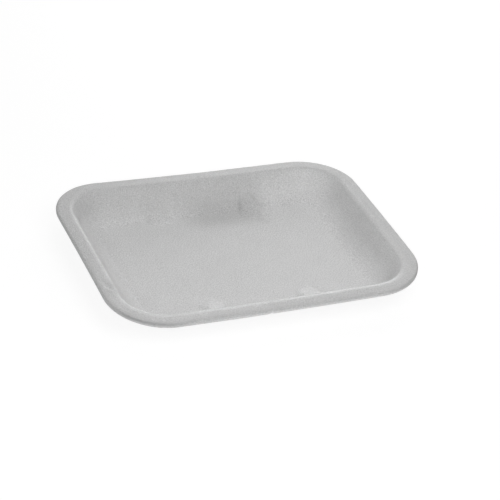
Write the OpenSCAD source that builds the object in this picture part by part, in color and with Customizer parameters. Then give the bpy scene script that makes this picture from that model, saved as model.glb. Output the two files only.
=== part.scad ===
// Foam food tray, thermoformed from one sheet of expanded polystyrene foam.
// Millimetres. The origin is the middle of the resting face, X along the long side, Z up.

/* [Footprint] */
// Length over the rim
tray_l = 235; // [190:1:300]
// Width over the rim
tray_w = 184; // [170:1:240]
// Height from the resting face to the crest of the rim
tray_h = 24.5; // [22:0.5:32]
// Radius of the rim's outer corners in plan
corner_r = 41; // [40:0.5:60]

/* [Rim] */
// Distance of the crest from the outer edge
crest_in = 9.3; // [7:0.1:10]
// Radius over the crest, where the flange turns down into the wall
crest_r = 4; // [2:0.1:4.5]
// Slope of the flange, falling outwards from the crest
flange_slope = 3.5; // [0:0.5:8]
// Thickness of the foam in the flange, which is the height of the trimmed lip
flange_t = 3.1; // [2:0.1:3.5]
// Radius of the rolled upper edge of the lip
lip_roll_r = 1.8; // [0.5:0.1:1.8]
// Radius of the trimmed lower edge of the lip
lip_under_r = 0.8; // [0.2:0.1:1]

/* [Well] */
// Slope of the walls above the level
wall_angle = 60; // [50:1:65]
// Thickness of the foam in the walls
wall_t = 3.2; // [2.4:0.1:4]
// Thickness of the foam in the floor
floor_t = 4; // [3:0.1:5]
// Radius between wall and floor inside the well
fillet_r = 20; // [12:0.5:21]
// Radius between wall and resting face on the underside
base_r = 23.5; // [14:0.5:26]
// Radius under the crest, between flange and wall
under_crest_r = 1; // [0.5:0.1:2]

/* [Lugs] */
// Distance between the two lugs of one long wall, centre to centre
lug_spacing = 73; // [40:1:100]
// Width of a lug, which is twice the radius of its round back
lug_w = 20; // [14:0.5:24]
// Distance of a lug's nose from the rim's outer edge
lug_nose_in = 45.5; // [38:0.5:50]
// Height of a lug's ridge above the resting face, over its nose
lug_top = 9; // [8:0.5:13]
// Slope of a lug's ridge, rising from its nose to the wall
lug_slope = 12; // [0:1:16]

/* [Hidden] */
$fn = 96;
arc_steps = 12;
// Overlap of a cut past the face that it opens
cut = 1;
lug_r = lug_w / 2;
// The two rounded edges of the lip share its height
roll_r = min(lip_roll_r, 0.6 * flange_t);
under_r = min(lip_under_r, 0.35 * flange_t);
side_l = tray_l - 2 * corner_r;
side_w = tray_w - 2 * corner_r;

// The section's x runs inwards from the outer edge, its y runs up from the resting face.
// The flange is parallel to flange_dir and the wall to wall_dir.
flange_dir = [cos(flange_slope), sin(flange_slope)];
wall_dir = [cos(wall_angle), -sin(wall_angle)];
crest_c = [crest_in, tray_h - crest_r];
flange_top = crest_c + crest_r * [-flange_dir.y, flange_dir.x];
wall_top = crest_c + crest_r * [-wall_dir.y, wall_dir.x];
flange_under = flange_top + flange_t * [flange_dir.y, -flange_dir.x];
wall_under = wall_top + wall_t * [wall_dir.y, -wall_dir.x];

// Crossing of the line through p along a with the line through q along b
function meet(p, a, q, b) =
    let (s = (b.x * (p.y - q.y) - b.y * (p.x - q.x)) / (a.x * b.y - a.y * b.x)) p + s * a;

// Arc of radius r that rounds the corner b of the path a, b, c
function rounded(a, b, c, r) =
    let (
        u = (a - b) / norm(a - b),
        v = (c - b) / norm(c - b),
        half = acos(u * v) / 2,
        mid = (u + v) / norm(u + v),
        centre = b + mid * r / sin(half),
        p = b + u * r / tan(half) - centre,
        q = b + v * r / tan(half) - centre,
        start = atan2(p.y, p.x),
        turn = (atan2(q.y, q.x) - start + 540) % 360 - 180
    )
    [for (i = [0:arc_steps]) centre + r * [cos(start + turn * i / arc_steps), sin(start + turn * i / arc_steps)]];

lip_top = meet(flange_top, flange_dir, [0, 0], [0, 1]);
lip_bottom = meet(flange_under, flange_dir, [0, 0], [0, 1]);
under_crest = meet(flange_under, flange_dir, wall_under, wall_dir);
foot_outside = meet(wall_under, wall_dir, [0, 0], [1, 0]);
foot_inside = meet(wall_top, wall_dir, [0, floor_t], [1, 0]);
base_middle = [corner_r, 0];
floor_middle = [corner_r, floor_t];

// Underside of the foam from the middle of the base out to the lip, and the top of the flange back to the crest
outside_path = concat(
    [base_middle],
    rounded(base_middle, foot_outside, under_crest, base_r),
    rounded(foot_outside, under_crest, lip_bottom, under_crest_r),
    rounded(under_crest, lip_bottom, lip_top, under_r),
    rounded(lip_bottom, lip_top, flange_top, roll_r)
);

// Top of the foam from the crest down the wall to the middle of the floor
function crest_arc(from, to) =
    [for (i = [0:arc_steps]) let (a = from + (to - from) * i / arc_steps) crest_c + crest_r * [sin(a), cos(a)]];
well_path = concat(
    crest_arc(0, wall_angle),
    rounded(wall_top, foot_inside, floor_middle, fillet_r),
    [floor_middle]
);

module outside_section() {
    polygon(concat(outside_path, crest_arc(-flange_slope, 0), [[corner_r, tray_h]]));
}

module well_section() {
    polygon(concat(well_path, [[corner_r, tray_h + cut], [crest_in, tray_h + cut]]));
}

// Carries a section round the rounded rectangle and fills the middle between the heights low and high
module round_the_rim(low, high) {
    for (corner = [[1, 1, 0], [-1, 1, 90], [-1, -1, 180], [1, -1, 270]])
        translate([corner.x * side_l / 2, corner.y * side_w / 2, 0])
            rotate(corner.z)
                rotate_extrude(angle = 90)
                    translate([corner_r, 0]) mirror([1, 0]) children();
    for (side = [[0, tray_l / 2, side_w], [90, tray_w / 2, side_l], [180, tray_l / 2, side_w], [270, tray_w / 2, side_l]])
        rotate(side[0])
            translate([side[1], side[2] / 2, 0])
                rotate([90, 0, 0])
                    linear_extrude(side[2])
                        mirror([1, 0]) children();
    translate([-side_l / 2, -side_w / 2, low])
        cube([side_l, side_w, high - low]);
}

// A finger with a ball nose that points at the middle of the tray and rises along Y to the wall
module lug_finger(r) {
    nose_y = tray_w / 2 - lug_nose_in + lug_r;
    translate([0, nose_y, lug_top - lug_r])
        rotate([lug_slope - 90, 0, 0]) {
            sphere(r);
            cylinder(r = r, h = tray_w / 2 - nose_y);
        }
}

// One finger of radius r at each of the four lugs
module lug_fingers(r) {
    for (x = [-1, 1], y = [0, 1])
        mirror([0, y, 0])
            translate([x * lug_spacing / 2, 0, 0])
                lug_finger(r);
}

module tray() {
    color("gainsboro")
        difference() {
            round_the_rim(0, tray_h) outside_section();
            difference() {
                round_the_rim(floor_t, tray_h + cut) well_section();
                lug_fingers(lug_r);
            }
            lug_fingers(lug_r - wall_t);
        }
}

tray();
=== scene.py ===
"""A foam food tray: one moulded sheet with a flanged rim, sloping walls, a flat floor and four low lugs.

The section of the foam is drawn once and carried round a rounded rectangle. Metres, in the frame of the
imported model: the middle of the resting face is the origin, X runs along the tray and Z up out of the well.
"""
import math

import bpy
from mathutils import Matrix, Vector


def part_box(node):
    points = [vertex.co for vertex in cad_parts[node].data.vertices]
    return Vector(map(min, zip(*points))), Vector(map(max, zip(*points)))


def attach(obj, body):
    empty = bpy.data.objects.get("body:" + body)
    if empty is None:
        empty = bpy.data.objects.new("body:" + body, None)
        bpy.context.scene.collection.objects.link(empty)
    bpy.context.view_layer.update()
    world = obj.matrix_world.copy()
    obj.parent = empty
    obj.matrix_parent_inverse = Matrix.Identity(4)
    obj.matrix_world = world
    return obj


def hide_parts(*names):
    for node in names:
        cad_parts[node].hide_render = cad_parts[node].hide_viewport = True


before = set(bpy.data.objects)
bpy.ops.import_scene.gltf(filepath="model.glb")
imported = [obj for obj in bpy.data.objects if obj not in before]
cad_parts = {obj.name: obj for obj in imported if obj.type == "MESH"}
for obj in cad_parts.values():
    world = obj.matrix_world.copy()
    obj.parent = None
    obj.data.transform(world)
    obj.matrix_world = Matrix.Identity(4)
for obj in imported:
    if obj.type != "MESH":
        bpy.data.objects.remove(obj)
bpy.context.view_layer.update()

MM = 0.001


def mm(*lengths):
    """Lengths in millimetres, as metres."""
    return tuple(length * MM for length in lengths)


# Footprint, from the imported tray
tray_low, tray_high = (Vector(corner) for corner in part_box("tray"))
TRAY_L = tray_high.x - tray_low.x
TRAY_W = tray_high.y - tray_low.y
TRAY_H = tray_high.z
CORNER_R = 41 * MM

# Rim
CREST_IN = 9.3 * MM
CREST_R = 4 * MM
FLANGE_SLOPE = math.radians(3.5)
FLANGE_T = 3.1 * MM
LIP_ROLL_R = 1.8 * MM
LIP_UNDER_R = 0.8 * MM

# Well
WALL_ANGLE = math.radians(60)
WALL_T = 3.2 * MM
FLOOR_T = 4 * MM
FILLET_R = 20 * MM
BASE_R = 23.5 * MM
UNDER_CREST_R = 1 * MM

# Lugs
LUG_SPACING = 73 * MM
LUG_W = 18 * MM
# Distance of a lug's nose from the middle of the tray's width, and how far its sides lag behind the nose
LUG_NOSE_Y = 47 * MM
LUG_LAG = 5 * MM
# Slopes of a lug's nose, of the ridge behind it and of its sides, the right one seen from the tray's middle
NOSE_SLOPE = math.radians(19.5)
RIDGE_SLOPE = math.radians(12)
LEFT_SLOPE = math.radians(56)
RIGHT_SLOPE = math.radians(50)
# How far the hollow under a lug lies inside the lug's sides, as a share of the foam's thickness
SIDE_INSET = 1.2
# Distance from the middle of the tray's width at which the ridge starts
RIDGE_Y = 56 * MM
LUG_BLEND = 2 * MM
# How much more softly the right side of the far right lug runs into the wall
LUG_FADE = 5 * MM
# How much lower the far left lug is, which is pressed less deep than the rest
LUG_FAINT = 2 * MM

# Warp of the rim, which has sagged along its long sides and lifted at its ends
END_RISE = 1.67 * MM
SIDE_SAG = 1.28 * MM
TWIST = 1.02 * MM
WARP_DROP = 0.95 * MM

# Crease across the left of the rim, with a shallow dent behind it, and a nick in the front of the lip. The
# crease starts at CREASE_Y, CREASE_IN inwards from the edge, and runs forwards and inwards from there.
CREASE_Y = -41 * MM
CREASE_IN = 4 * MM
CREASE_SLANT = 1.24
CREASE_DEPTH = 0.9 * MM
# Edges of the dent behind the crease and inwards from the lip: it starts, is full, starts to fade and ends
DENT_ALONG = mm(-1, 0.5, 2, 13)
DENT_ACROSS = mm(3, 7, 11, 15)
NICK_X = -9 * MM
NICK_W = 2.2 * MM
NICK_DEPTH = 0.9 * MM
# Distances inwards from the edge between which the nick fades
NICK_REACH = mm(0.5, 3)
# Height and length of the slight waves in the rim
WAVE_HEIGHT = 0.3 * MM
WAVE_LENGTH = 45 * MM

# Spacing of the mesh
SIDE_STEP = 1.25 * MM
WELL_STEP = 1.1 * MM
UNDER_STEP = 2.4 * MM
CORNER_STEPS = 20
ARC_STEPS = 12
WELD = 0.01 * MM


def meet(p, a, q, b):
    """Crossing of the line through p along a with the line through q along b."""
    along = (b.x * (p.y - q.y) - b.y * (p.x - q.x)) / (a.x * b.y - a.y * b.x)
    return p + along * a


def rounded(a, b, c, radius):
    """Arc that rounds the corner b of the path a, b, c."""
    u = (a - b).normalized()
    v = (c - b).normalized()
    half = u.angle(v) / 2
    centre = b + (u + v).normalized() * radius / math.sin(half)
    start = b + u * radius / math.tan(half) - centre
    end = b + v * radius / math.tan(half) - centre
    turn = start.angle_signed(end)
    points = []
    for i in range(ARC_STEPS + 1):
        angle = -turn * i / ARC_STEPS
        turned = Matrix.Rotation(angle, 2) @ start
        points.append(centre + turned)
    return points


def evenly(points, step):
    """The same path with points added so that none are further apart than a step."""
    path = [points[0]]
    for start, end in zip(points, points[1:]):
        count = max(1, math.ceil((end - start).length / step))
        path.extend(start.lerp(end, i / count) for i in range(1, count + 1))
    return path


def section():
    """The foam's section as two open paths: the outside with the flange, and the well from the crest inwards.

    x runs inwards from the outer edge and y runs up from the resting face.
    """
    flange_dir = Vector((math.cos(FLANGE_SLOPE), math.sin(FLANGE_SLOPE)))
    wall_dir = Vector((math.cos(WALL_ANGLE), -math.sin(WALL_ANGLE)))
    crest_centre = Vector((CREST_IN, TRAY_H - CREST_R))
    flange_top = crest_centre + CREST_R * Vector((-flange_dir.y, flange_dir.x))
    wall_top = crest_centre + CREST_R * Vector((-wall_dir.y, wall_dir.x))
    flange_under = flange_top + FLANGE_T * Vector((flange_dir.y, -flange_dir.x))
    wall_under = wall_top + WALL_T * Vector((wall_dir.y, -wall_dir.x))
    level = Vector((1, 0))
    upright = Vector((0, 1))
    edge = Vector((0, 0))
    lip_top = meet(flange_top, flange_dir, edge, upright)
    lip_bottom = meet(flange_under, flange_dir, edge, upright)
    under_crest = meet(flange_under, flange_dir, wall_under, wall_dir)
    foot_outside = meet(wall_under, wall_dir, edge, level)
    foot_inside = meet(wall_top, wall_dir, Vector((0, FLOOR_T)), level)
    base_middle = Vector((CORNER_R, 0))
    floor_middle = Vector((CORNER_R, FLOOR_T))

    def crest_arc(start, end):
        angles = [start + (end - start) * i / ARC_STEPS for i in range(ARC_STEPS + 1)]
        return [crest_centre + CREST_R * Vector((math.sin(angle), math.cos(angle))) for angle in angles]

    outside = evenly(
        [base_middle]
        + rounded(base_middle, foot_outside, under_crest, BASE_R)
        + rounded(foot_outside, under_crest, lip_bottom, UNDER_CREST_R),
        UNDER_STEP,
    )
    lip = rounded(under_crest, lip_bottom, lip_top, LIP_UNDER_R)
    lip += rounded(lip_bottom, lip_top, flange_top, LIP_ROLL_R)
    outside += evenly([outside[-1]] + lip + crest_arc(-FLANGE_SLOPE, 0), WELL_STEP)[1:]
    well = evenly(
        crest_arc(0, WALL_ANGLE) + rounded(wall_top, foot_inside, floor_middle, FILLET_R) + [floor_middle],
        WELL_STEP,
    )
    return outside, well


class Field:
    """A value inside a node tree. Sums, products and the functions below add Math nodes to the tree."""

    def __init__(self, tree, socket):
        self.tree = tree
        self.socket = socket

    def maths(self, operation, *others):
        """The result of a Math node on the value and the others."""
        node = self.tree.nodes.new("ShaderNodeMath")
        node.operation = operation
        for slot, value in zip(node.inputs, (self, *others)):
            plug(self.tree, value, slot)
        return Field(self.tree, node.outputs[0])

    def __add__(self, other):
        return self.maths("ADD", other)

    def __sub__(self, other):
        return self.maths("SUBTRACT", other)

    def __mul__(self, other):
        return self.maths("MULTIPLY", other)

    def __truediv__(self, other):
        return self.maths("DIVIDE", other)

    def size(self):
        """The value without its sign."""
        return self.maths("ABSOLUTE")

    def between(self, low, high):
        """The value, held between two limits."""
        return self.maths("MAXIMUM", low).maths("MINIMUM", high)

    def ramp(self, low, high, start=0.0, end=1.0):
        """Smooth change from start at low to end at high, level beyond them."""
        node = self.tree.nodes.new("ShaderNodeMapRange")
        node.interpolation_type = "SMOOTHSTEP"
        for slot, value in zip(node.inputs, (self, low, high, start, end)):
            plug(self.tree, value, slot)
        return Field(self.tree, node.outputs[0])

    def fade(self, low, high):
        """Smooth fall from one at low to nothing at high, level beyond them."""
        return self.ramp(low, high, start=1.0, end=0.0)

    def band(self, start, full, fading, end):
        """Smooth rise from nothing at start to one at full, and smooth fall from fading to end."""
        return self.ramp(start, full) * self.fade(fading, end)


def plug(tree, value, slot):
    """Gives a socket a value: a link from a field or another socket, or a plain number."""
    if isinstance(value, Field):
        value = value.socket
    if isinstance(value, bpy.types.NodeSocket):
        tree.links.new(value, slot)
    else:
        slot.default_value = value


def add_node(tree, kind, settings=None, **inputs):
    """Adds a node, sets its options and plugs the inputs that are named."""
    node = tree.nodes.new(kind)
    for name, value in (settings or {}).items():
        setattr(node, name, value)
    for name, value in inputs.items():
        plug(tree, value, node.inputs[name.replace("_", " ")])
    return node


def split(tree, vector):
    """The three parts of a vector as fields."""
    node = add_node(tree, "ShaderNodeSeparateXYZ", Vector=vector)
    return [Field(tree, part) for part in node.outputs]


def join(tree, x, y, z):
    """A vector socket from three fields or numbers."""
    return add_node(tree, "ShaderNodeCombineXYZ", X=x, Y=y, Z=z).outputs[0]


def named(tree, name):
    """The value that each point carries under a name."""
    node = add_node(tree, "GeometryNodeInputNamedAttribute", {"data_type": "FLOAT"}, Name=name)
    return Field(tree, node.outputs[0])


def moved(tree, geometry, x, y, z):
    """The geometry with each point at a new place."""
    node = add_node(tree, "GeometryNodeSetPosition", Geometry=geometry, Position=join(tree, x, y, z))
    return node.outputs[0]


def marked(tree, geometry, **marks):
    """The geometry with a value stored under each name on its points."""
    for name, value in marks.items():
        node = add_node(tree, "GeometryNodeStoreNamedAttribute", {"data_type": "FLOAT"})
        for label, given in (("Geometry", geometry), ("Name", name), ("Value", value)):
            plug(tree, given, node.inputs[label])
        geometry = node.outputs[0]
    return geometry


def place(tree):
    """The three parts of each point's place."""
    return split(tree, tree.nodes.new("GeometryNodeInputPosition").outputs[0])


def rim_path(tree, length, width, radius, step):
    """Rounded rectangle with its straight sides cut into steps and its corners into arcs."""
    rectangle = add_node(tree, "GeometryNodeCurvePrimitiveQuadrilateral", Width=length, Height=width)
    fillet = add_node(
        tree,
        "GeometryNodeFilletCurve",
        {"mode": "POLY"},
        Curve=rectangle.outputs[0],
        Radius=radius,
        Count=CORNER_STEPS - 1,
    )
    index = tree.nodes.new("GeometryNodeInputIndex").outputs[0]
    following = add_node(tree, "GeometryNodeOffsetPointInCurve", Point_Index=index, Offset=1)
    here = tree.nodes.new("GeometryNodeInputPosition").outputs[0]
    there = add_node(tree, "GeometryNodeFieldAtIndex", {"data_type": "FLOAT_VECTOR"})
    plug(tree, here, there.inputs["Value"])
    plug(tree, following.outputs["Point Index"], there.inputs["Index"])
    run = tree.nodes.new("ShaderNodeVectorMath")
    run.operation = "DISTANCE"
    plug(tree, here, run.inputs[0])
    plug(tree, there.outputs[0], run.inputs[1])
    gap = Field(tree, run.outputs["Value"])
    chord = radius * (math.pi / CORNER_STEPS)
    pieces = (gap / step).maths("ROUND") - 1
    cuts = gap.maths("GREATER_THAN", chord) * pieces
    return add_node(tree, "GeometryNodeSubdivideCurve", Curve=fillet.outputs[0], Cuts=cuts).outputs[0]


def squared(tree, ring, length, width, radius):
    """The swept ring with each section set exactly square to the edge.

    A section runs from its point on the outer edge to the nearest point of the rectangle between the four
    corner centres, which lies one corner radius further in.
    """
    edge_x = named(tree, "edge_x")
    edge_y = named(tree, "edge_y")
    middle_x = edge_x.between(radius - length / 2, length / 2 - radius)
    middle_y = edge_y.between(radius - width / 2, width / 2 - radius)
    share = named(tree, "inward") / radius
    x = edge_x + (middle_x - edge_x) * share
    y = edge_y + (middle_y - edge_y) * share
    return moved(tree, ring, x, y, place(tree)[2])


def middle_grid(tree, length, width, radius, step, height):
    """Flat middle of the floor or the base, inside the four corner centres."""
    long_side = length - radius * 2
    short_side = width - radius * 2
    grid = add_node(
        tree,
        "GeometryNodeMeshGrid",
        Size_X=long_side,
        Size_Y=short_side,
        Vertices_X=(long_side / step).maths("ROUND") + 1,
        Vertices_Y=(short_side / step).maths("ROUND") + 1,
    )
    x, y, _ = place(tree)
    return moved(tree, grid.outputs[0], x, y, height)


def lug_height(x, y, spacing, width, inset):
    """Height of the lugs: flat ramps with round noses that point at the middle and rise to the long walls."""
    across = x.size() - spacing / 2
    share = across.size() / (width / 2)
    lag = share * share * LUG_LAG
    nose = (y.size() - lag - LUG_NOSE_Y) * math.tan(NOSE_SLOPE)
    ridge_start = (RIDGE_Y - LUG_NOSE_Y) * math.tan(NOSE_SLOPE)
    ridge = (y.size() - RIDGE_Y) * math.tan(RIDGE_SLOPE) + ridge_start
    right = (across * x * y).maths("GREATER_THAN", 0.0)
    steepness = right * (math.tan(RIGHT_SLOPE) - math.tan(LEFT_SLOPE)) + math.tan(LEFT_SLOPE)
    side = (width / 2 - across.size() - inset * SIDE_INSET) * steepness
    top = nose.maths("SMOOTH_MIN", ridge, LUG_BLEND) - inset * (1 / math.cos(NOSE_SLOPE))
    left = x.fade(-LUG_W / 2, LUG_W / 2)
    far = y.ramp(-LUG_W / 2, LUG_W / 2)
    return top.maths("SMOOTH_MIN", side, LUG_BLEND) + FLOOR_T - left * far * LUG_FAINT


def past_crease(y, inward):
    """Distance behind the crease, along Y."""
    return y + (inward - CREASE_IN) * CREASE_SLANT - CREASE_Y


def crease_depth(x, y, inward):
    """Depth of the dent in the left of the rim, which ends sharply at the crease."""
    along = past_crease(y, inward).band(*DENT_ALONG)
    across = inward.band(*DENT_ACROSS)
    return along * across * x.fade(-TRAY_L / 4, 0.0) * CREASE_DEPTH


def nick_depth(x, y, inward):
    """Depth of the nick in the front of the lip."""
    along = (x - NICK_X).size().fade(0.0, NICK_W) * y.ramp(0.0, -TRAY_W / 4)
    return along * inward.fade(*NICK_REACH) * NICK_DEPTH


def foam_sheet(tree, drawn_section, given):
    """One closed skin: the section carried round the rim, and the middle of the floor and of the base."""
    length = given["Length"]
    width = given["Width"]
    radius = given["Corner radius"]
    step = given["Mesh step"]
    profile = add_node(tree, "GeometryNodeMeshToCurve", Mesh=drawn_section)
    path = rim_path(tree, length, width, radius, step)
    x, y, _ = place(tree)
    path = marked(tree, path, edge_x=x, edge_y=y)
    upright = add_node(tree, "GeometryNodeSetCurveNormal", {"mode": "Z_UP"}, Curve=path)
    swept = add_node(tree, "GeometryNodeCurveToMesh", Curve=upright.outputs[0])
    plug(tree, profile.outputs[0], swept.inputs["Profile Curve"])
    ring = squared(tree, swept.outputs[0], length, width, radius)
    floor = middle_grid(tree, length, width, radius, step, given["Floor thickness"])
    floor = marked(tree, floor, well=1.0, inward=CORNER_R)
    base = middle_grid(tree, length, width, radius, step, 0.0)
    base = marked(tree, base, well=0.0, inward=CORNER_R)
    joined = tree.nodes.new("GeometryNodeJoinGeometry")
    turned = [add_node(tree, "GeometryNodeFlipFaces", Mesh=part).outputs[0] for part in (base, ring)]
    for part in (*turned, floor):
        tree.links.new(part, joined.inputs[0])
    welded = add_node(tree, "GeometryNodeMergeByDistance", Geometry=joined.outputs[0], Distance=WELD)
    return welded.outputs[0]


def with_lugs(tree, sheet, given):
    """The sheet with the four lugs pressed up into it. Each point keeps how far it was lifted, as lug."""
    spacing = given["Lug spacing"]
    x, y, z = place(tree)
    inset = named(tree, "well") * -WALL_T + WALL_T
    lug = lug_height(x, y, spacing, given["Lug width"], inset)
    far_right = (x - spacing / 2).ramp(0.0, LUG_W / 4) * y.ramp(0.0, LUG_NOSE_Y)
    raised = z.maths("SMOOTH_MAX", lug, far_right * LUG_FADE + LUG_BLEND)
    lifted = marked(tree, sheet, lug=raised - z)
    return moved(tree, lifted, x, y, z + named(tree, "lug"))


def with_wear(tree, sheet, given):
    """The sheet with its rim warped and waved, the crease and dent in the rim and the nick in the lip."""
    x, y, z = place(tree)
    share_x = x / (given["Length"] / 2)
    share_y = y / (given["Width"] / 2)
    rise = given["End rise"] * share_x * share_x - given["Side sag"] * share_y * share_y
    warp = rise - given["Twist"] * share_x * share_y - WARP_DROP
    waves = add_node(tree, "ShaderNodeTexNoise", Scale=1 / WAVE_LENGTH, Detail=1.0).outputs[0]
    warp = warp + (Field(tree, waves) - 0.5) * WAVE_HEIGHT
    high = z.ramp(FLOOR_T, TRAY_H - CREST_R)
    inward = named(tree, "inward")
    worn = z + warp * high - crease_depth(x, y, inward) * high
    return moved(tree, sheet, x, y + nick_depth(x, y, inward), worn)


def tray_tree():
    """Node tree that moulds the tray from the mesh of its section, and the sizes of its inputs."""
    tree = bpy.data.node_groups.new("moulded foam tray", "GeometryNodeTree")
    sockets = tree.interface
    sockets.new_socket("Section", in_out="INPUT", socket_type="NodeSocketGeometry")
    sizes = {
        "Length": TRAY_L,
        "Width": TRAY_W,
        "Corner radius": CORNER_R,
        "Floor thickness": FLOOR_T,
        "Mesh step": SIDE_STEP,
        "Lug spacing": LUG_SPACING,
        "Lug width": LUG_W,
        "End rise": END_RISE,
        "Side sag": SIDE_SAG,
        "Twist": TWIST,
    }
    for name in sizes:
        sockets.new_socket(name, in_out="INPUT", socket_type="NodeSocketFloat")
    sockets.new_socket("Foam", in_out="INPUT", socket_type="NodeSocketMaterial")
    sockets.new_socket("Tray", in_out="OUTPUT", socket_type="NodeSocketGeometry")
    inputs = tree.nodes.new("NodeGroupInput")
    given = {socket.name: Field(tree, socket) for socket in inputs.outputs if socket.name in sizes}

    sheet = foam_sheet(tree, inputs.outputs["Section"], given)
    worn = with_wear(tree, with_lugs(tree, sheet, given), given)
    smooth = add_node(tree, "GeometryNodeSetShadeSmooth", Geometry=worn)
    realized = add_node(tree, "GeometryNodeRealizeInstances", Geometry=smooth.outputs[0])
    finished = add_node(tree, "GeometryNodeSetMaterial", Geometry=realized.outputs[0])
    plug(tree, inputs.outputs["Foam"], finished.inputs["Material"])
    output = tree.nodes.new("NodeGroupOutput")
    plug(tree, finished.outputs[0], output.inputs[0])
    return tree, sizes


def make_tray(foam):
    """The tray as one closed mesh."""
    outside, well = section()
    points = outside + well[1:]
    drawn = bpy.data.meshes.new("tray section")
    edges = [(i, i + 1) for i in range(len(points) - 1)]
    drawn.from_pydata([(-point.x, -point.y, 0) for point in points], edges, [])
    in_well = drawn.attributes.new("well", "FLOAT", "POINT")
    inward = drawn.attributes.new("inward", "FLOAT", "POINT")
    height = drawn.attributes.new("height", "FLOAT", "POINT")
    for i, point in enumerate(points):
        in_well.data[i].value = 1.0 if i >= len(outside) - 1 else 0.0
        inward.data[i].value = point.x
        height.data[i].value = point.y
    pattern = bpy.data.objects.new("tray section", drawn)
    bpy.context.scene.collection.objects.link(pattern)
    tree, sizes = tray_tree()
    modifier = pattern.modifiers.new("moulding", "NODES")
    modifier.node_group = tree
    for item in tree.interface.items_tree:
        if item.name in sizes:
            modifier[item.identifier] = sizes[item.name]
        elif item.name == "Foam":
            modifier[item.identifier] = foam
    graph = bpy.context.evaluated_depsgraph_get()
    mesh = bpy.data.meshes.new_from_object(pattern.evaluated_get(graph))
    bpy.data.objects.remove(pattern)
    mesh.name = "tray"
    # The foam's slot comes after an empty one, because the section has no material
    while mesh.materials[0] is None:
        mesh.materials.pop(index=0)
    tray = bpy.data.objects.new("foam_tray", mesh)
    bpy.context.scene.collection.objects.link(tray)
    return tray


# The skin is coarse on the rim and the walls and finer on the floor, with this border between them
GRAIN_BORDER = mm(24, 30)
FINE_GRAIN = 0.4
# Size of a pebble of the skin, its height, and how many grains there are to its width
PEBBLE = 1.1 * MM
PEBBLE_HEIGHT = 0.3 * MM
GRAINS = 1.4
# How strongly the grains show in the tone of skin with no coarseness and of coarse skin
FINE_CONTRAST = 1.7
COARSE_CONTRAST = 0.9
ROUGHNESS = 0.55
# How much less rough and how much flatter the skin is where it is smoothest, on the crest at the front
CREST_GLOSS = 0.36
CREST_FLATTENING = 0.8
# Share of that smoothness that the lugs at the front have
LUG_SMOOTHNESS = 0.15
# Grey of the foam, the share of it that the rim has, and how much it varies
FOAM_TONE = 0.613
RIM_TONE = 0.885
MOTTLE = 0.015
MOTTLE_SCALE = 60.0

# Bands by distance inwards from the edge: each sets in, is full, starts to fade and ends
CREST_BAND = mm(8, 9, 9.8, 10.9)
# The next band is where the painted highlight on the crest lies
CREST_HIGHLIGHT_BAND = mm(5, 10.5, 9.8, 10.9)
ROLL_BAND = mm(0, 1, 1.5, 4.5)
LEFT_RIM_BAND = mm(2.5, 5, 10, 12)
WALL_BAND = mm(9.5, 12, 14, 30)
# Edges of the dent's painted shade and of its dull part, by distance behind the crease
DENT_BAND = mm(1, 4, 9, 14)
DULL_BAND = mm(-3.5, -1.5, 7, 10)
CREASE_REACH = mm(0.2, 1.3)
# Distances inwards between which the rim's tone gives way to the well's, and the well's spots of painted
# light and shade set in
RIM_EDGE = mm(10, 13.5)
SPOT_EDGE = mm(10, 13)
# Places between which the front of the crest and the left of the rim set in
CREST_FRONT = mm(-50, -80)
RIM_LEFT = mm(-95, -100)
# How far the foam is lifted where a lug's own smoother skin and painted highlight set in and where they are
# full
LUG_LIFT = mm(0.2, 1.2)

# How far towards the front left the crest's gloss, its painted highlight, the lip's painted shade and the
# corner's painted shade set in and are full. The middle of the tray is 0, the middle of the front side is a
# half and the middle of the left end is this share of a half.
END_SHARE = 0.8
SMOOTH_CREST = (0.0, 0.2)
PALE_CREST = (0.3, 0.7)
DARK_LIP = (-0.2, 0.9)
DARK_CORNER = (0.69, 0.82)
# The same for the painted light low on the lip and on the lip at the left, towards the front right, where the
# middle of either side is a half. The last one fades that way.
PALE_LOW_LIP = (0.05, 0.45)
PALE_LEFT_LIP = (-0.4, -0.15)

# How much painted shade darkens the rolled edge of the lip towards the front left and at that corner
LIP_SHADE = 0.12
LIP_CORNER_SHADE = 0.42
CORNER_REACH = mm(0.3, 1.7)
# How much painted light, as from the floor, makes the lip paler at the front and the right close to its lower
# edge, fading between two heights
LIP_GLOW = 0.42
LIP_LOW = TRAY_H - 2.5 * MM
LIP_HIGH = TRAY_H - 1.3 * MM
LOW_LIP_REACH = mm(0.5, 1.5)
# How much painted light makes the lip paler at the left, and also at the back
LEFT_LIP_GLOW = 0.1
LEFT_LIP_REACH = mm(0.5, 1.8)
# How much paler the flange gets towards the crest at the front, as a painted highlight
PAINTED_CREST_HIGHLIGHT = 0.2
# Painted shade in the dent in the left of the rim and painted highlight on the crease before it: how much
# darker and paler they are
DENT_SHADE = 0.06
CREASE_HIGHLIGHT = 0.16
# How much painted light makes the walls paler to the right and the front, and painted shade greyer to the
# left and the back
WALL_LIGHT_AND_SHADE = 0.08
# How much a painted highlight makes the lugs at the front paler
FRONT_LUG_HIGHLIGHT = 0.07
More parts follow.
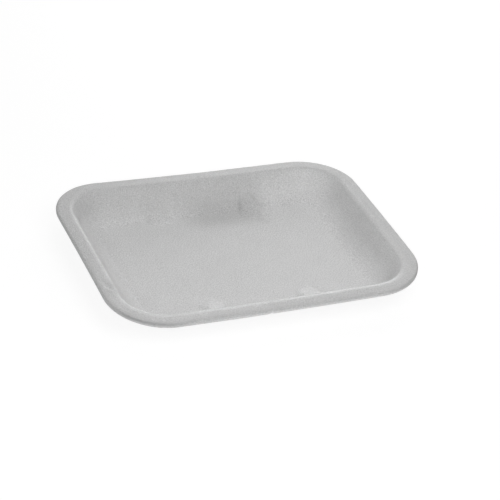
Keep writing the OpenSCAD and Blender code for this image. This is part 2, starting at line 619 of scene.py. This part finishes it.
# Soft-edged patches of painted light and painted shade in the well. Each reach is four pairs of places in
# millimetres,
# between which the tone sets in or fades: left, right, front and back.
LIGHT_AND_SHADE_SPOTS = (
    # Painted shadow beside the far right lug
    ("painted shadow at the far right lug", 0.79, ((-30, 6), (34, 54), (34, 54), (60, 80))),
    # Painted light on the right end of the far wall and in the far right corner
    ("painted light on the far wall", 1.12, ((40, 56), (70, 98), (60, 72), (76, 92))),
    ("painted light in the right far corner", 1.08, ((66, 96), (120, 130), (0, 50), (90, 110))),
    # Painted light on the wall in the right front corner
    ("painted light in the right front corner", 1.13, ((92, 108), (130, 140), (-110, -100), (-66, -46))),
    # Painted shade beside the far left lug
    ("painted shade at the far left lug", 0.95, ((-54, -42), (-32, -22), (54, 62), (66, 76))),
    # Painted light on the left sides of the front lugs
    ("painted light on the left side of the front left lug", 1.09, ((-47, -45), (-42, -39), (-80, -70), (-56, -52))),
    ("painted light on the left side of the front right lug", 1.09, ((26, 28), (31, 34), (-80, -70), (-56, -52))),
    # Painted shade where the left wall meets the floor
    ("painted shade at the foot of the left wall", 0.95, ((-96, -90), (-86, -78), (-60, -40), (60, 80))),
)


def carried(tree, name):
    """The value that the surface carries under a name, in a material."""
    return Field(tree, add_node(tree, "ShaderNodeAttribute", {"attribute_name": name}).outputs["Fac"])


class Skin:
    """Where a point of the foam's skin lies, and the tones that depend on it."""

    def __init__(self, tree):
        self.place = tree.nodes.new("ShaderNodeTexCoord").outputs["Object"]
        self.x, self.y, _ = split(tree, self.place)
        self.inward = carried(tree, "inward")
        self.height = carried(tree, "height")
        self.to_front_left = self.x * (-END_SHARE / TRAY_L) - self.y / TRAY_W
        self.to_front_right = self.x / TRAY_L - self.y / TRAY_W
        self.behind = past_crease(self.y, self.inward)
        self.left_rim = self.x.ramp(*RIM_LEFT) * self.inward.band(*LEFT_RIM_BAND)
        self.front_lug = carried(tree, "lug").ramp(*LUG_LIFT) * self.y.ramp(0.0, -TRAY_W / 4)

    def smoothness(self):
        """One on the crest at the front, apart from the dull dent, and a little on the lugs at the front."""
        crest = self.inward.band(*CREST_BAND) * self.to_front_left.ramp(*SMOOTH_CREST)
        crest = crest * self.y.ramp(*CREST_FRONT, start=0.6)
        dull = self.left_rim * self.behind.band(*DULL_BAND)
        crest = crest * (dull * -1 + 1)
        return crest.maths("MAXIMUM", self.front_lug * LUG_SMOOTHNESS)

    def lip_light_and_shade(self):
        """Painted shade darkens the lip in its roll and at the front left corner, and painted light makes it
        paler low down and at the left.
        """
        roll = self.inward.band(*ROLL_BAND) * self.to_front_left.ramp(*DARK_LIP) * LIP_SHADE
        corner = self.inward.fade(*CORNER_REACH) * self.height.ramp(LIP_LOW, LIP_HIGH)
        corner = corner * self.to_front_left.ramp(*DARK_CORNER) * LIP_CORNER_SHADE
        low = self.inward.fade(*LOW_LIP_REACH) * self.height.fade(LIP_LOW, LIP_HIGH)
        low = low * self.to_front_right.ramp(*PALE_LOW_LIP, start=0.15) * LIP_GLOW
        left = self.inward.fade(*LEFT_LIP_REACH) * self.to_front_right.fade(*PALE_LEFT_LIP) * LEFT_LIP_GLOW
        return low + left - roll - corner + 1

    def crest_highlight(self):
        """Painted highlight: the flange is paler towards the crest at the front."""
        front = self.to_front_left.ramp(*PALE_CREST, start=0.5) * self.y.ramp(*CREST_FRONT, start=0.25)
        return self.inward.band(*CREST_HIGHLIGHT_BAND) * front * PAINTED_CREST_HIGHLIGHT + 1

    def dent_shade_and_highlight(self):
        """Painted shade darkens the dent in the left of the rim and a painted highlight makes its crease
        paler.
        """
        dent = self.left_rim * self.behind.band(*DENT_BAND)
        crease = self.left_rim * self.behind.size().fade(*CREASE_REACH)
        return (dent * -DENT_SHADE + 1) * (crease * CREASE_HIGHLIGHT + 1)

    def wall_light_and_shade(self):
        """Painted light makes the walls paler to the right and the front and painted shade greyer to the left
        and the back; a painted highlight makes the lugs at the front paler.
        """
        wall = self.inward.band(*WALL_BAND)
        return (self.to_front_right * wall * WALL_LIGHT_AND_SHADE + 1) * (self.front_lug * FRONT_LUG_HIGHLIGHT + 1)

    def painted_spot(self, tone, reach):
        """Painted light where the tone is above one and painted shade where it is below, inside a soft-edged
        rectangle, on the inner side of the crest.
        """
        left, right, front, back = [mm(*pair) for pair in reach]
        inside = self.x.band(*left, *right) * self.y.band(*front, *back)
        return inside * self.inward.ramp(*SPOT_EDGE) * (tone - 1) + 1


def foam_material():
    """Matt light grey foam with a pebbled skin, coarser on the rim and walls than on the floor, with light
    and shade painted into its grey.
    """
    material = bpy.data.materials.new("pebbled foam")
    material.use_nodes = True
    tree = material.node_tree
    shader = tree.nodes["Principled BSDF"]
    shader.inputs["Specular IOR Level"].default_value = 0.5
    skin = Skin(tree)
    smooth = skin.smoothness()
    plug(tree, smooth * -CREST_GLOSS + ROUGHNESS, shader.inputs["Roughness"])

    coarse = skin.inward.ramp(*GRAIN_BORDER, start=1.0, end=FINE_GRAIN)
    pebbles = add_node(
        tree, "ShaderNodeTexVoronoi", {"feature": "SMOOTH_F1"}, Vector=skin.place, Scale=1 / PEBBLE
    )
    grain = add_node(tree, "ShaderNodeTexNoise", Vector=skin.place, Scale=GRAINS / PEBBLE, Detail=3.0)
    grain = Field(tree, grain.outputs[0])
    relief = (grain - Field(tree, pebbles.outputs["Distance"]) * 0.5) * coarse
    relief = relief * (smooth * -CREST_FLATTENING + 1)
    bump = add_node(tree, "ShaderNodeBump", Strength=1.0, Distance=PEBBLE_HEIGHT, Height=relief)
    plug(tree, bump.outputs[0], shader.inputs["Normal"])

    mottle = add_node(tree, "ShaderNodeTexNoise", Vector=skin.place, Scale=MOTTLE_SCALE, Detail=4.0)
    mottle = Field(tree, mottle.outputs[0])
    tone = mottle.ramp(0.3, 0.7, FOAM_TONE * (1 - MOTTLE), FOAM_TONE * (1 + MOTTLE))
    contrast = coarse * (COARSE_CONTRAST - FINE_CONTRAST) + FINE_CONTRAST
    tone = tone * ((grain - 0.5) * contrast + 1)
    tone = tone * skin.inward.ramp(*RIM_EDGE, start=RIM_TONE)
    # Painted light and shade on the lip, the dent and crease and the walls, and painted highlights on the
    # crest and the front lugs
    tone = tone * skin.lip_light_and_shade() * skin.crest_highlight() * skin.dent_shade_and_highlight() * skin.wall_light_and_shade()
    # Patches of painted light and painted shade in the well
    for _, painted_spot, reach in LIGHT_AND_SHADE_SPOTS:
        tone = tone * skin.painted_spot(painted_spot, reach)
    colour = add_node(tree, "ShaderNodeCombineColor", Red=tone, Green=tone, Blue=tone)
    plug(tree, colour.outputs[0], shader.inputs["Base Color"])
    return material


# Camera, fitted to the outline of the rim in the photo
CAMERA_YAW = math.radians(25.466)
CAMERA_PITCH = math.radians(32.771)
CAMERA_ROLL = math.radians(6.884)
CAMERA_LENS = 149.78
CAMERA_SENSOR = 36.0
# Where the camera stands from the middle of the tray: to its right, up and back, along its own axes
CAMERA_OFFSET = Vector((10.36, -7.95, 1498.7)) * MM
# Height of the point that it is measured from, which lay level with the lip's lower edge
AIM_Z = TRAY_H - 3.06 * MM - WARP_DROP


def make_camera():
    """Camera at the photo's place, which looks down on the tray from its front left."""
    data = bpy.data.cameras.new("camera")
    data.lens = CAMERA_LENS
    data.sensor_width = CAMERA_SENSOR
    camera = bpy.data.objects.new("camera", data)
    bpy.context.scene.collection.objects.link(camera)
    turn = Matrix.Rotation(-CAMERA_YAW, 3, "Z")
    turn = turn @ Matrix.Rotation(math.pi / 2 - CAMERA_PITCH, 3, "X")
    turn = turn @ Matrix.Rotation(CAMERA_ROLL, 3, "Z")
    place = Vector((0, 0, AIM_Z)) + turn @ CAMERA_OFFSET
    camera.matrix_world = Matrix.Translation(place) @ turn.to_4x4()
    bpy.context.scene.camera = camera


def looked_at(tree):
    """One for rays that show the floor or the world to the camera, also by way of gloss or glass."""
    rays = tree.nodes.new("ShaderNodeLightPath")
    looked = Field(tree, rays.outputs["Is Camera Ray"])
    looked = looked.maths("MAXIMUM", Field(tree, rays.outputs["Is Glossy Ray"]))
    return looked.maths("MAXIMUM", Field(tree, rays.outputs["Is Transmission Ray"]))


FLOOR_SIZE = 6.0
# Grey of the floor for the light that it gives back, and its lit and its own part as the camera sees them
FLOOR_GREY = (0.8, 0.8, 0.8, 1.0)
FLOOR_LIT_GREY = (0.15, 0.15, 0.15, 1.0)
FLOOR_GLOW = 0.9


def make_floor():
    """White floor that shows the tray's shadow to the camera."""
    mesh = bpy.data.meshes.new("floor")
    reach = FLOOR_SIZE / 2
    corners = [(-reach, -reach, 0), (reach, -reach, 0), (reach, reach, 0), (-reach, reach, 0)]
    mesh.from_pydata(corners, [], [(0, 1, 2, 3)])
    material = bpy.data.materials.new("floor")
    material.use_nodes = True
    tree = material.node_tree
    tree.nodes.clear()
    matt = add_node(tree, "ShaderNodeBsdfDiffuse", Color=FLOOR_GREY)
    seen = add_node(tree, "ShaderNodeBsdfDiffuse", Color=FLOOR_LIT_GREY)
    glow = add_node(tree, "ShaderNodeEmission", Strength=FLOOR_GLOW)
    bright = tree.nodes.new("ShaderNodeAddShader")
    tree.links.new(seen.outputs[0], bright.inputs[0])
    tree.links.new(glow.outputs[0], bright.inputs[1])
    mix = tree.nodes.new("ShaderNodeMixShader")
    plug(tree, looked_at(tree), mix.inputs[0])
    tree.links.new(matt.outputs[0], mix.inputs[1])
    tree.links.new(bright.outputs[0], mix.inputs[2])
    output = tree.nodes.new("ShaderNodeOutputMaterial")
    tree.links.new(mix.outputs[0], output.inputs[0])
    mesh.materials.append(material)
    floor = bpy.data.objects.new("floor", mesh)
    bpy.context.scene.collection.objects.link(floor)


LIGHT_DISTANCE = 0.7
# Each soft light with its azimuth, 0 along +X, and its elevation in degrees, its size in metres and its power
# in watts. The back low light is small, so that its reflection in the crest of the rim is a thin line.
LIGHTS = (
    ("front key", -90, 50, 0.4, 2.3),
    ("left front fill", -135, 40, 0.4, 0.72),
    ("left front low fill", -135, 10, 0.4, 0.95),
    ("back top light", 90, 60, 0.4, 0.8),
    ("back low light", 69, 12, 0.25, 0.72),
    ("back right light", 45, 35, 0.4, 1.2),
)


def area_light(name, azimuth, elevation, size, power):
    """Square soft light that looks at the tray."""
    data = bpy.data.lights.new(name, "AREA")
    data.size = size
    data.energy = power
    light = bpy.data.objects.new(name, data)
    bpy.context.scene.collection.objects.link(light)
    away = Matrix.Rotation(math.radians(azimuth), 3, "Z") @ Matrix.Rotation(-math.radians(elevation), 3, "Y")
    direction = away @ Vector((1, 0, 0))
    turn = direction.to_track_quat("Z", "Y").to_matrix().to_4x4()
    light.matrix_world = Matrix.Translation(direction * LIGHT_DISTANCE) @ turn


def make_lights():
    """A white world that is seen but gives no light, and the soft lights."""
    world = bpy.data.worlds.new("studio")
    bpy.context.scene.world = world
    world.use_nodes = True
    tree = world.node_tree
    background = tree.nodes["Background"]
    plug(tree, looked_at(tree), background.inputs["Strength"])
    background.inputs["Color"].default_value = (1, 1, 1, 1)
    for light in LIGHTS:
        area_light(*light)


scene = bpy.context.scene
scene.view_settings.view_transform = "Standard"

make_camera()
make_floor()
make_lights()
tray = make_tray(foam_material())
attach(tray, "root")
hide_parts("tray")
